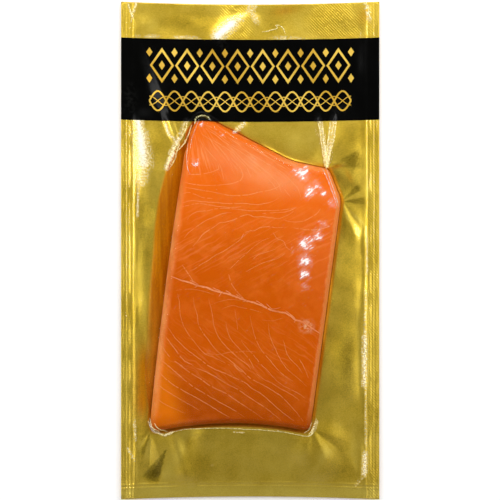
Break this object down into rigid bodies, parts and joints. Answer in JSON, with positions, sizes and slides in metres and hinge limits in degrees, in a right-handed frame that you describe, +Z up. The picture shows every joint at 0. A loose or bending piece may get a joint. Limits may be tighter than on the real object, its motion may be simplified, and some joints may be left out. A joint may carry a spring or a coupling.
{
  "type": "pack of smoked salmon",
  "caption": "Flat vacuum pouch with a gold foil back, a cut of salmon lying on it and a clear front film with a black printed band.",
  "frame": {"origin": "middle of the pouch's outline, on the surface it lies on", "axes": "+X across the pouch to the right, +Y along it towards the printed end, +Z up out of the clear front"},
  "size_m": [0.15, 0.289, 0.0216],
  "materials": {
    "gold_foil": "metallised gold plastic laminate, glossy, softly creased",
    "salmon_flesh": "moist orange fish with pale fat lines",
    "clear_film": "thin clear glossy vacuum film",
    "black_print": "glossy black print with a gold line ornament"
  },
  "bodies": {
    "root": {"gold_back_sheet": "gold_foil", "salmon_cut": "salmon_flesh", "clear_front_film": "clear_film", "black_print_band": "black_print"}
  },
  "joints": []
}
